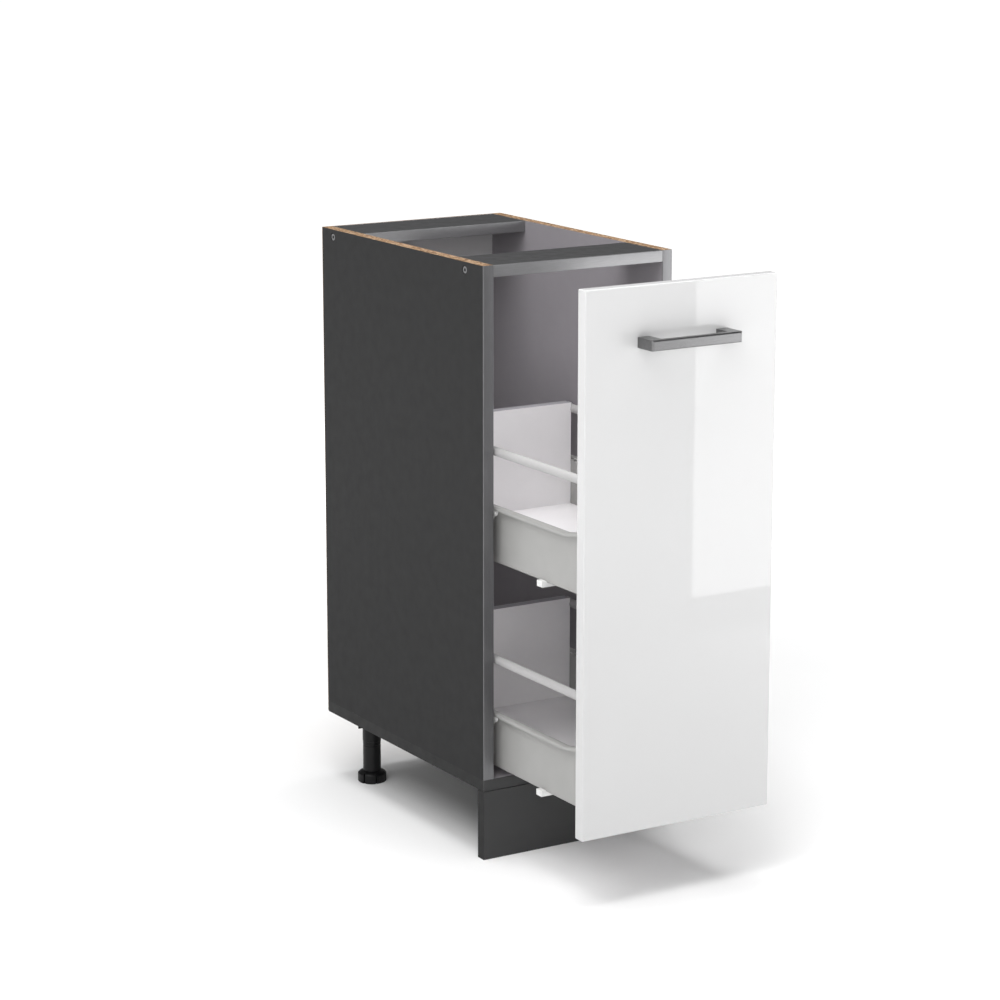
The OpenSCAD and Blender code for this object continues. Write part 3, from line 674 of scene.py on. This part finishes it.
# name, azimuth, elevation, distance, width, height, radiance
BOXES = (
    ("key_top_left", -52.0, 50.0, 3.2, 1.8, 1.8, 3.1),
    ("left_top", -86.0, 52.0, 3.2, 1.8, 1.8, 2.7),
    ("front_fill", -37.0, 18.0, 5.6, 2.4, 2.0, 4.1),
    ("overhead", 0.0, 88.0, 2.8, 2.0, 2.0, 5.8),
    ("back_over", 180.0, 72.0, 2.8, 1.8, 1.8, 1.6),
)


def floor():
    bm = bmesh.new()
    bmesh.ops.create_grid(bm, x_segments=1, y_segments=1, size=40.0)
    ob = finish_mesh(bm, "studio_floor")
    t = Tree("pale_floor")
    n = t.noise(2.0, 2.0)
    away = t.node("ShaderNodeVectorMath", {"operation": "LENGTH"})
    t.nt.links.new(t.coord, away.inputs[0])
    # The sweep glows faintly away from the cabinet, where the lamps fall off
    far = t.node("ShaderNodeMapRange", {"interpolation_type": "SMOOTHSTEP"})
    t.nt.links.new(away.outputs["Value"], far.inputs[0])
    for k, v in ((1, 0.9), (2, 2.5), (3, 0.0), (4, GLOW)):
        far.inputs[k].default_value = v
    t.surface(Base_Color=t.ramp(n, [(0.3, (0.925, 0.925, 0.925)), (0.7, (0.94, 0.94, 0.94))]), Roughness=0.9,
              Emission_Color=(1.0, 1.0, 1.0, 1.0), Emission_Strength=far.outputs[0], **{"Specular_IOR_Level": 0.0})
    ob.data.materials.append(t.mat)


floor()


def backdrop():
    """A white surround behind the floor, seen by the camera alone, so that it lights nothing."""
    bm = bmesh.new()
    bmesh.ops.create_uvsphere(bm, u_segments=48, v_segments=24, radius=38.0)
    ob = finish_mesh(bm, "studio_backdrop")
    t = Tree("pale_backdrop")
    t.surface(Base_Color=(0.9, 0.9, 0.9, 1.0), Roughness=0.9, Emission_Color=(1.0, 1.0, 1.0, 1.0), Emission_Strength=1.0,
              **{"Specular_IOR_Level": 0.0})
    ob.data.materials.append(t.mat)
    ob.visible_diffuse = ob.visible_glossy = ob.visible_transmission = False
    ob.visible_volume_scatter = ob.visible_shadow = False


backdrop()

world = bpy.data.worlds.new("studio")
scene.world = world
world.use_nodes = True
wt = world.node_tree
wt.nodes.clear()
w_out = wt.nodes.new("ShaderNodeOutputWorld")
w_bg = wt.nodes.new("ShaderNodeBackground")
w_bg.inputs["Color"].default_value = (1.0, 1.0, 1.0, 1.0)
w_bg.inputs["Strength"].default_value = WORLD
wt.links.new(w_bg.outputs[0], w_out.inputs[0])


def mirror_point(u, v, plane_y, target_y):
    """Where the view ray through pixel (u, v), mirrored in the plane y = plane_y, reaches y = target_y."""
    q = cam.rotation_euler.to_quaternion()
    d = q @ Vector(((u - 500.0) / FOCAL, (500.0 - v) / FOCAL, -1.0))
    t = (plane_y - EYE.y) / d.y
    p = EYE + d * t
    d.y = -d.y
    t = (target_y - p.y) / d.y
    return p + d * t


def softbox(name, centre, look, size_x, size_y, radiance, colour=(1, 1, 1)):
    ld = bpy.data.lights.new(name, "AREA")
    ld.shape = "RECTANGLE"
    ld.size, ld.size_y = size_x, size_y
    ld.energy = radiance * math.pi * size_x * size_y
    ld.color = colour
    ob = bpy.data.objects.new(name, ld)
    ob.location = centre
    ob.rotation_euler = (Vector(look) - Vector(centre)).to_track_quat("-Z", "Y").to_euler()
    ob.visible_camera = False
    scene.collection.objects.link(ob)
    return ob


def around(azimuth, elevation, distance, middle=(0.0, -0.1, 0.45)):
    """A place seen from the middle of the cabinet: azimuth 0 is in front, negative is to the left."""
    a, e = math.radians(azimuth), math.radians(elevation)
    return Vector(middle) + distance * Vector((math.sin(a) * math.cos(e), -math.cos(a) * math.cos(e), math.sin(e)))


# The tall window light on the right, whose edge shows in the gloss of the front
PLANE = -0.330
WIN_Y = -1.4
low_left = mirror_point(692, 598, PLANE, WIN_Y)
win_w, win_h = 1.45, 1.25
centre = Vector((low_left.x + win_w / 2, WIN_Y, low_left.z + win_h / 2))
softbox("window_light", centre, centre + Vector((0, 1, 0)), win_w, win_h, WINDOW)
MIDDLE = Vector((0.0, -0.15, 0.5))
for name, azimuth, elevation, distance, wide, high, radiance in BOXES:
    softbox(name, around(azimuth, elevation, distance), MIDDLE, wide, high, radiance)

scene.view_settings.view_transform = "Standard"
scene.view_settings.look = "None"
scene.view_settings.exposure = 0.0
scene.view_settings.gamma = 1.0
